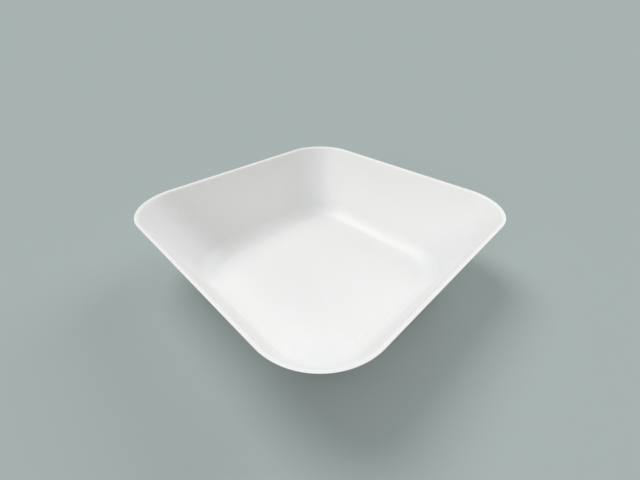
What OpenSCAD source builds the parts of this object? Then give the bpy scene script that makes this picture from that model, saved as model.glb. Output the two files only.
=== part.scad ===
// Square weighing boat: one thin formed sheet with a flat base, sloping sides,
// rounded corners and a narrow flat lip. Millimetres, +Z up, with the origin at
// the middle of the base.

/* [Boat] */
// Width over the lip, the same both ways
top_w = 84; // [66:1:120]
// Width between the walls' inner faces, carried down to the base
base_w = 60; // [40:1:76]
// Height from the base to the top of the lip
height = 24; // [12:1:40]
// Plan radius of the inside corners, the same from floor to rim
corner_r = 14.5; // [8:0.5:24]

/* [Sheet] */
// Thickness of the formed sheet
sheet = 0.4; // [0.2:0.05:1]
// Inside radius of the bend from the floor into the walls, before they lean
floor_r = 4; // [1:0.5:8]
// Inside radius of the bend from the walls into the lip, before they lean
rim_r = 0.1; // [0.05:0.05:1.5]
// Flat width of the lip beyond its bend
lip_w = 0.5; // [0.3:0.1:4]

/* [Hidden] */
$fn = 96;
// From the wall's inner face to the edge of the lip
lip_reach = sheet + rim_r + lip_w;
// How far the walls move outwards for each millimetre that they rise
lean = (top_w / 2 - lip_reach - base_w / 2) / height;
// Each corner turns about a line that starts this far out from the middle, in x and in y
corner_at = base_w / 2 - corner_r;

// A quarter ring of sheet about the origin, starting at an angle
module bend(inside_r, start) {
  outside_r = inside_r + sheet;
  intersection() {
    difference() {
      circle(outside_r);
      circle(inside_r);
    }
    rotate(start) square(2 * outside_r);
  }
}

// Section of the sheet with its wall still upright: x runs out from a corner's
// turning line and y is the height
module section() {
  wall_from = sheet + floor_r;
  wall_to = height - sheet - rim_r;
  lip_from = corner_r + sheet + rim_r;
  square([corner_r - floor_r, sheet]);
  translate([corner_r - floor_r, wall_from]) bend(floor_r, 270);
  translate([corner_r, wall_from]) square([sheet, wall_to - wall_from]);
  translate([lip_from, wall_to]) bend(rim_r, 90);
  translate([lip_from, height - sheet]) square([lip_w, sheet]);
}

// Moves a piece out to the turning lines and leans it outwards, in x, in y or in both
module leaned(x, y) {
  multmatrix([
    [1, 0, x * lean, x * corner_at],
    [0, 1, y * lean, y * corner_at],
    [0, 0, 1, 0],
    [0, 0, 0, 1],
  ]) children();
}

// The stretch between two corners, which spreads as it rises: everything with y
// inside both turning lines
module between_corners() {
  intersection_for (turn = [0, 180]) {
    rotate(turn) leaned(0, 1) translate([-top_w, -top_w, 0]) cube([2 * top_w, top_w, height]);
  }
}

// One corner: the section turned through a quarter and leaned both ways, so that
// its radius stays the same all the way up
module corner() {
  leaned(1, 1) rotate_extrude(angle = 90) section();
}

// One side: the section run along y, leaned in x and cut where the corners begin
module side() {
  intersection() {
    leaned(1, 0) rotate([90, 0, 0]) linear_extrude(top_w, center = true) section();
    between_corners();
  }
}

// The middle of the floor, inside the four turning lines
module floor_panel() {
  intersection() {
    between_corners();
    rotate(90) between_corners();
    translate([-top_w / 2, -top_w / 2, 0]) cube([top_w, top_w, sheet]);
  }
}

module boat() {
  color("white") {
    floor_panel();
    for (turn = [0:90:270]) {
      rotate(turn) corner();
      rotate(turn) side();
    }
  }
}

boat();
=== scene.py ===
import math

import bpy
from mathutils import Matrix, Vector


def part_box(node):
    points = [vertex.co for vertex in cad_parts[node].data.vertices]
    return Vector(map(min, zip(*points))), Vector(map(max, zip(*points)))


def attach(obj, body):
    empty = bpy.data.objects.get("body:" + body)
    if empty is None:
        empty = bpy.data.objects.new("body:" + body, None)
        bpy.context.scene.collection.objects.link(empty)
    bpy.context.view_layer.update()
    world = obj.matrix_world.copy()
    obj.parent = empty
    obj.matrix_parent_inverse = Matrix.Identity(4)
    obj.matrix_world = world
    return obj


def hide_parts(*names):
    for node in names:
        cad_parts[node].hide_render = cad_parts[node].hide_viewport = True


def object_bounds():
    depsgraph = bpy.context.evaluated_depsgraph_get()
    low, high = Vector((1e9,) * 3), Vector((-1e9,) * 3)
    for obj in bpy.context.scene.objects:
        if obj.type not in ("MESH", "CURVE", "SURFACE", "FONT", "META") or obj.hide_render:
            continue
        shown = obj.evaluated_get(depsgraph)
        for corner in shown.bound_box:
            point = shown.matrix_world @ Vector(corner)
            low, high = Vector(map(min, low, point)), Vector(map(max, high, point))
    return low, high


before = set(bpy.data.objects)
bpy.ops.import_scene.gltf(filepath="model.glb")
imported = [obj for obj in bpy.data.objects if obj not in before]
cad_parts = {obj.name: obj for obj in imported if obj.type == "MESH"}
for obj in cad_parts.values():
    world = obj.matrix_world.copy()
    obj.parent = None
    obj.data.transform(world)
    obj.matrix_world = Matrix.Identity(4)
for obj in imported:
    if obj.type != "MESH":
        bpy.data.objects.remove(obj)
cadLow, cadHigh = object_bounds()
boatLow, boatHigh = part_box("boat")
scene = bpy.context.scene
scene.view_settings.view_transform = "Standard"
print("frame loaded:", ", ".join(sorted(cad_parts)))


class Wire:
    # an output socket of a node tree; sums on it add Math nodes
    def __init__(self, tree, socket=None):
        self.tree = tree
        self.socket = socket

    def add(self, nodeType, settings=None, inputs=None, output=0):
        node = self.tree.nodes.new(nodeType)
        for name, value in (settings or {}).items():
            if name == "items":  # an Index Switch starts with two
                for _ in range(value - 2):
                    node.index_switch_items.new()
            else:
                setattr(node, name, value)
        for name, value in (inputs or {}).items():
            if isinstance(value, Wire):
                self.tree.links.new(value.socket, node.inputs[name])
            else:
                node.inputs[name].default_value = value
        return Wire(self.tree, node.outputs[output])

    def math(self, operation, *values):
        return self.add("ShaderNodeMath", {"operation": operation}, dict(enumerate(values)))

    def clamp(self, low, high):
        return self.add("ShaderNodeClamp", inputs={"Value": self, "Min": low, "Max": high})

    def part(self, axis):
        return self.add("ShaderNodeSeparateXYZ", inputs={"Vector": self}, output=axis)

    def __add__(self, other):
        return self.math("ADD", self, other)

    def __radd__(self, other):
        return self.math("ADD", other, self)

    def __sub__(self, other):
        return self.math("SUBTRACT", self, other)

    def __rsub__(self, other):
        return self.math("SUBTRACT", other, self)

    def __mul__(self, other):
        return self.math("MULTIPLY", self, other)

    def __rmul__(self, other):
        return self.math("MULTIPLY", other, self)

    def __truediv__(self, other):
        return self.math("DIVIDE", self, other)

    def __rtruediv__(self, other):
        return self.math("DIVIDE", other, self)


# the formed plastic, with heights and depth in metres
plastic = {
    "white": (0.860, 0.860, 0.850, 1.0),
    "thin": (0.800, 0.810, 0.810, 1.0),    # painted shade: a darker, cooler tone low in the corners, where the sheet is also drawn thin
    "thinBase": 0.7,                       # share of that tone without the clouds
    "thinClouds": 0.6,                     # and what they add at most
    "roughness": 0.46,
    "grainRoughness": 0.16,
    "cloudRoughness": 0.10,
    "ior": 1.59,
    "cloudsPerMetre": 38.0,
    "cloudDetail": 3.0,
    "peelPerMetre": 900.0,                 # soft waviness of the formed skin
    "grainPerMetre": 6000.0,               # the mould's fine blasted face
    "skinDetail": 2.0,
    "peelHeight": 0.000100,
    "grainHeight": 0.000025,
    "glow": 0.15,                          # share of the light that enters the sheet
    "glowTint": (1.0, 0.95, 0.85),
    "glowDepth": 0.0006,                   # how far it spreads there
}


def formedPlastic(look):
    material = bpy.data.materials.new("formedWhite")
    material.use_nodes = True
    tree = material.node_tree
    shader = tree.nodes["Principled BSDF"]
    shader.inputs["IOR"].default_value = look["ior"]
    shader.inputs["Subsurface Weight"].default_value = look["glow"]
    shader.inputs["Subsurface Radius"].default_value = look["glowTint"]
    shader.inputs["Subsurface Scale"].default_value = look["glowDepth"]
    place = Wire(tree).add("ShaderNodeTexCoord", output="Object")

    def noise(scale, detail):
        return place.add(
            "ShaderNodeTexNoise",
            inputs={"Vector": place, "Scale": scale, "Detail": detail},
        )

    drawnAndShaded = place.add("ShaderNodeAttribute", {"attribute_name": "drawnAndShaded"}, output="Fac")
    clouds = noise(look["cloudsPerMetre"], look["cloudDetail"])
    grain = noise(look["grainPerMetre"], look["skinDetail"])
    peel = noise(look["peelPerMetre"], look["skinDetail"])
    # painted shade: the thin corners are mixed towards the darker, cooler tone
    thinShare = (drawnAndShaded * (look["thinBase"] + look["thinClouds"] * clouds)).clamp(0.0, 1.0)
    colour = place.add(
        "ShaderNodeMix",
        {"data_type": "RGBA"},
        {"Factor": thinShare, 6: look["white"], 7: look["thin"]},  # its sockets for colours
        output=2,
    )
    noiseMean = 0.5
    uneven = look["grainRoughness"] * (grain - noiseMean)
    uneven = uneven + look["cloudRoughness"] * (clouds - noiseMean)
    roughness = look["roughness"] + uneven
    height = look["peelHeight"] * peel + look["grainHeight"] * grain
    bump = place.add("ShaderNodeBump", inputs={"Distance": 1.0, "Height": height})
    tree.links.new(colour.socket, shader.inputs["Base Color"])
    tree.links.new(roughness.socket, shader.inputs["Roughness"])
    tree.links.new(bump.socket, shader.inputs["Normal"])
    return material


# the boat: one section of sheet led round the floor's outline and leaned outwards
boatSizes = {
    "topWidth": boatHigh.x - boatLow.x,
    "height": boatHigh.z - boatLow.z,
    "baseWidth": 0.060,
    "cornerRadius": 0.0145,
    "sheet": 0.0004,
    "floorRadius": 0.004,
    "rimRadius": 0.0001,
    "lipFlat": 0.0005,
    "edgeRadius": 0.00012,
    "floorMargin": 0.002,      # flat strip between the floor's middle and its bend
    "mergeWithin": 0.000001,
    "mapMargin": 0.01,         # share of the texture map's width
    "bendSteps": 12,
    "cornerSteps": 24,
    "flatCuts": 6,
}


def formedShellTree(sizes):
    tree = bpy.data.node_groups.new("formedShell", "GeometryNodeTree")
    for name, value in sizes.items():
        kind = "NodeSocketInt" if isinstance(value, int) else "NodeSocketFloat"
        tree.interface.new_socket(name, in_out="INPUT", socket_type=kind)
    tree.interface.new_socket("plastic", in_out="INPUT", socket_type="NodeSocketMaterial")
    tree.interface.new_socket("Mesh", in_out="OUTPUT", socket_type="NodeSocketGeometry")
    start = tree.nodes.new("NodeGroupInput")
    size = {socket.name: Wire(tree, socket) for socket in start.outputs if socket.name}
    wire = Wire(tree)
    sheet, height = size["sheet"], size["height"]
    reach = sheet + size["rimRadius"] + size["lipFlat"]
    lean = (size["topWidth"] / 2 - reach - size["baseWidth"] / 2) / height
    cornerAt = size["baseWidth"] / 2 - size["cornerRadius"]
    index = wire.add("GeometryNodeInputIndex")

    def pick(dataType, values):
        settings = {"data_type": dataType, "items": len(values)}
        items = dict(enumerate(values, 1))  # socket 0 takes the index
        return wire.add("GeometryNodeIndexSwitch", settings, {"Index": index, **items})

    def rounded(curve, radius, steps):
        return wire.add(
            "GeometryNodeFilletCurve",
            {"mode": "POLY"},
            {"Curve": curve, "Count": steps, "Radius": radius},
        )

    def cutFlats(curve, steps, flatAt):
        # every bend has steps + 1 points, and only the straight stretches between bends are cut
        halfPoint = 0.5
        turn = wire.math("FLOORED_MODULO", index, steps + 1)
        onFlat = wire.math("COMPARE", turn, flatAt, halfPoint)
        cuts = onFlat * size["flatCuts"]
        return wire.add("GeometryNodeSubdivideCurve", inputs={"Curve": curve, "Cuts": cuts})

    # section corners: distance out from the path, height, bend radius
    wallIn = size["floorMargin"] + size["floorRadius"]
    corners = [
        (0.0, sheet, 0.0),
        (wallIn, sheet, size["floorRadius"]),
        (wallIn, height, size["rimRadius"] + sheet),
        (wallIn + reach, height, size["edgeRadius"]),
        (wallIn + reach, height - sheet, size["edgeRadius"]),
        (wallIn + sheet, height - sheet, size["rimRadius"]),
        (wallIn + sheet, 0.0, size["floorRadius"] + sheet),
        (0.0, 0.0, 0.0),
    ]
    line = wire.add("GeometryNodeCurvePrimitiveLine")
    line = wire.add("GeometryNodeResampleCurve", inputs={"Curve": line, "Count": len(corners)})
    points = [  # y points down in a section that is led along a path
        wire.add("ShaderNodeCombineXYZ", inputs={"X": out, "Y": 0.0 - up})
        for out, up, _ in corners
    ]
    line = wire.add(
        "GeometryNodeSetPosition",
        inputs={"Geometry": line, "Position": pick("VECTOR", points)},
    )
    bends = pick("FLOAT", [radius for _, _, radius in corners])
    section = cutFlats(rounded(line, bends, size["bendSteps"]), size["bendSteps"], 0.0)

    # path: the outline of the floor's middle
    pathRadius = size["cornerRadius"] - wallIn
    pathWidth = (cornerAt + pathRadius) * 2
    square = wire.add(
        "GeometryNodeCurvePrimitiveQuadrilateral",
        inputs={"Width": pathWidth, "Height": pathWidth},
    )
    path = rounded(square, pathRadius, size["cornerSteps"])
    path = cutFlats(path, size["cornerSteps"], size["cornerSteps"])
    path = wire.add("GeometryNodeSetCurveNormal", {"mode": "Z_UP"}, {"Curve": path})
    swept = wire.add(
        "GeometryNodeCurveToMesh",
        inputs={"Curve": path, "Profile Curve": section},
    )

    # middle of the floor: rings that close in on one point, above and below
    middle = wire.add("GeometryNodeFillCurve", {"mode": "NGONS"}, {"Curve": path})
    inner = True
    for ring in range(sizes["flatCuts"], 0, -1):
        inset = wire.add(
            "GeometryNodeExtrudeMesh",
            {"mode": "FACES"},
            {"Mesh": middle, "Selection": inner, "Offset Scale": 0.0},
        )
        inner = Wire(tree, inset.socket.node.outputs["Top"])
        middle = wire.add(
            "GeometryNodeScaleElements",
            {"domain": "FACE"},
            {"Geometry": inset, "Selection": inner, "Scale": (ring - 1) / ring},
        )
    lift = wire.add("ShaderNodeCombineXYZ", inputs={"Z": sheet})
    above = wire.add("GeometryNodeSetPosition", inputs={"Geometry": middle, "Offset": lift})
    below = wire.add("GeometryNodeFlipFaces", inputs={"Mesh": middle})
    joined = tree.nodes.new("GeometryNodeJoinGeometry")
    for mesh in (swept, above, below):
        tree.links.new(mesh.socket, joined.inputs[0])
    shell = Wire(tree, joined.outputs[0])

    # the corners thin out as the sheet is drawn down into them, and this share paints them darker
    # as painted shade: most on their diagonals, low down
    position = wire.add("GeometryNodeInputPosition")
    x, y, up = position.part(0), position.part(1), position.part(2)
    fromTurnX = wire.math("MAXIMUM", wire.math("ABSOLUTE", x) - cornerAt, 0.0)
    fromTurnY = wire.math("MAXIMUM", wire.math("ABSOLUTE", y) - cornerAt, 0.0)
    roundness = 2 * fromTurnX * fromTurnY / (size["cornerRadius"] * size["cornerRadius"])
    depth = 1 - up / height
    shell = wire.add(
        "GeometryNodeStoreNamedAttribute",
        {"data_type": "FLOAT", "domain": "POINT"},
        {"Geometry": shell, "Name": "drawnAndShaded", "Value": roundness * depth},
    )

    # lean: each point moves out with its height, and the straight stretches spread
    def spread(along):
        return along + lean * up * (along / cornerAt).clamp(-1.0, 1.0)

    leaned = wire.add("ShaderNodeCombineXYZ", inputs={"X": spread(x), "Y": spread(y), "Z": up})
    shell = wire.add("GeometryNodeSetPosition", inputs={"Geometry": shell, "Position": leaned})
    shell = wire.add(
        "GeometryNodeMergeByDistance",
        inputs={"Geometry": shell, "Distance": size["mergeWithin"]},
    )
    shell = wire.add("GeometryNodeSetShadeSmooth", inputs={"Geometry": shell})

    # flat texture map: inside and outside, parted along the trim edge
    parting = wire.math("COMPARE", up, height - size["edgeRadius"], size["mergeWithin"])
    flatMap = wire.add(
        "GeometryNodeUVUnwrap",
        {"method": "CONFORMAL"},
        {"Seam": parting, "Margin": size["mapMargin"]},
    )
    shell = wire.add(
        "GeometryNodeStoreNamedAttribute",
        {"data_type": "FLOAT2", "domain": "CORNER"},
        {"Geometry": shell, "Name": "OFBake", "Value": flatMap},
    )
    shell = wire.add("GeometryNodeRealizeInstances", inputs={"Geometry": shell})
    shell = wire.add(
        "GeometryNodeSetMaterial",
        inputs={"Geometry": shell, "Material": size["plastic"]},
    )
    end = tree.nodes.new("NodeGroupOutput")
    tree.links.new(shell.socket, end.inputs["Mesh"])
    return tree


def growMesh(name, tree, values):
    piece = bpy.data.objects.new(name, bpy.data.meshes.new(name))
    scene.collection.objects.link(piece)
    modifier = piece.modifiers.new("grow", "NODES")
    modifier.node_group = tree
    for item in tree.interface.items_tree:
        if item.in_out == "INPUT":
            modifier[item.identifier] = values[item.name]
    grown = piece.evaluated_get(bpy.context.evaluated_depsgraph_get())
    mesh = bpy.data.meshes.new_from_object(grown)
    piece.modifiers.remove(modifier)
    piece.data = mesh
    return piece


formedWhite = formedPlastic(plastic)
print("plastic ready:", formedWhite.name)
boat = growMesh("formed_boat", formedShellTree(boatSizes), {**boatSizes, "plastic": formedWhite})
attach(boat, "root")
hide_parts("boat")
print("boat:", len(boat.data.vertices), "points,", len(boat.data.polygons), "faces")


def seenRays(wire):
    # 1 for rays that show the background, straight or in a reflection
    camera = wire.add("ShaderNodeLightPath", output="Is Camera Ray")
    glossy = wire.add("ShaderNodeLightPath", output="Is Glossy Ray")
    through = wire.add("ShaderNodeLightPath", output="Is Transmission Ray")
    return (camera + glossy + through).clamp(0.0, 1.0)


# pale floor and soft light
stage = {
    "floorColour": Vector((0.385, 0.445, 0.435)),
    "floorBounce": Vector((0.70, 0.70, 0.70)),     # what the floor throws back at the boat
    "floorHalf": 6.0,
    "floorDrop": 0.00002,      # keeps the floor clear of the boat's base
    "ambient": 0.39,
}
# as the camera sees it: the key is high at the back left, the fill at the back right,
# and the skim low at the front left
lights = {
    "key": {"from": Vector((-0.06, 0.46, 0.88)), "energy": 1.34, "angle": 32},
    "fill": {"from": Vector((0.82, -0.06, 0.57)), "energy": 0.82, "angle": 40},
    "skim": {"from": Vector((-0.85, -0.20, 0.42)), "energy": 0.74, "angle": 32},
}
lightOnFloor = stage["ambient"]
for name, light in lights.items():
    lamp = bpy.data.lights.new(name, "SUN")
    lamp.energy = light["energy"]
    lamp.angle = math.radians(light["angle"])
    lampObject = bpy.data.objects.new(name, lamp)
    lampObject.rotation_euler = light["from"].to_track_quat("Z", "Y").to_euler()
    scene.collection.objects.link(lampObject)
    lightOnFloor += light["energy"] * light["from"].normalized().z / math.pi

half = stage["floorHalf"]
floorMesh = bpy.data.meshes.new("floor")
floorMesh.from_pydata(
    [(-half, -half, 0), (half, -half, 0), (half, half, 0), (-half, half, 0)],
    [],
    [(0, 1, 2, 3)],
)
floor = bpy.data.objects.new("floor", floorMesh)
floor.location.z = cadLow.z - stage["floorDrop"]
scene.collection.objects.link(floor)
floorPaint = bpy.data.materials.new("floorPaint")
floorPaint.use_nodes = True
floorTree = floorPaint.node_tree
floorTree.nodes.remove(floorTree.nodes["Principled BSDF"])
bounced = Wire(floorTree).add(
    "ShaderNodeBsdfDiffuse",
    inputs={"Color": (*stage["floorBounce"], 1.0)},
)
painted = bounced.add(
    "ShaderNodeBsdfDiffuse",
    inputs={"Color": (*stage["floorColour"], 1.0)},
)
mixed = bounced.add("ShaderNodeMixShader", inputs={0: seenRays(bounced), 1: bounced, 2: painted})
floorTree.links.new(mixed.socket, floorTree.nodes["Material Output"].inputs["Surface"])
floorMesh.materials.append(floorPaint)

# the world lights the boat, and where it is seen it takes the lit floor's own shade
world = bpy.data.worlds.new("studio")
world.use_nodes = True
worldTree = world.node_tree
around = worldTree.nodes["Background"]
around.inputs["Color"].default_value = (1.0, 1.0, 1.0, 1.0)
around.inputs["Strength"].default_value = stage["ambient"]
sky = Wire(worldTree, around.outputs[0])
backdrop = sky.add(
    "ShaderNodeBackground",
    inputs={"Color": (*(stage["floorColour"] * lightOnFloor), 1.0)},
)
mixed = sky.add("ShaderNodeMixShader", inputs={0: seenRays(sky), 1: sky, 2: backdrop})
worldTree.links.new(mixed.socket, worldTree.nodes["World Output"].inputs["Surface"])
scene.world = world
print("stage and lights ready, light on the floor", round(lightOnFloor, 3))

# camera on the line from the boat's middle through a cube's corner
view = {
    "from": Vector((-1, -1, 1)),
    "stepBack": 0.057,         # along each axis
    "tallAngle": 75.0,
    "frame": (640, 480),
    "sensor": 36.0,
    "clipStart": 0.002,
}
aim = (cadLow + cadHigh) / 2
cameraData = bpy.data.cameras.new("camera")
cameraData.sensor_fit = "HORIZONTAL"
cameraData.sensor_width = view["sensor"]
halfTall = view["sensor"] / 2 * view["frame"][1] / view["frame"][0]
cameraData.lens = halfTall / math.tan(math.radians(view["tallAngle"] / 2))
cameraData.clip_start = view["clipStart"]
camera = bpy.data.objects.new("camera", cameraData)
offset = view["from"] * view["stepBack"]
camera.location = aim + offset
camera.rotation_euler = offset.to_track_quat("Z", "Y").to_euler()
scene.collection.objects.link(camera)
scene.camera = camera
print("camera set, lens", round(cameraData.lens, 2), "mm")
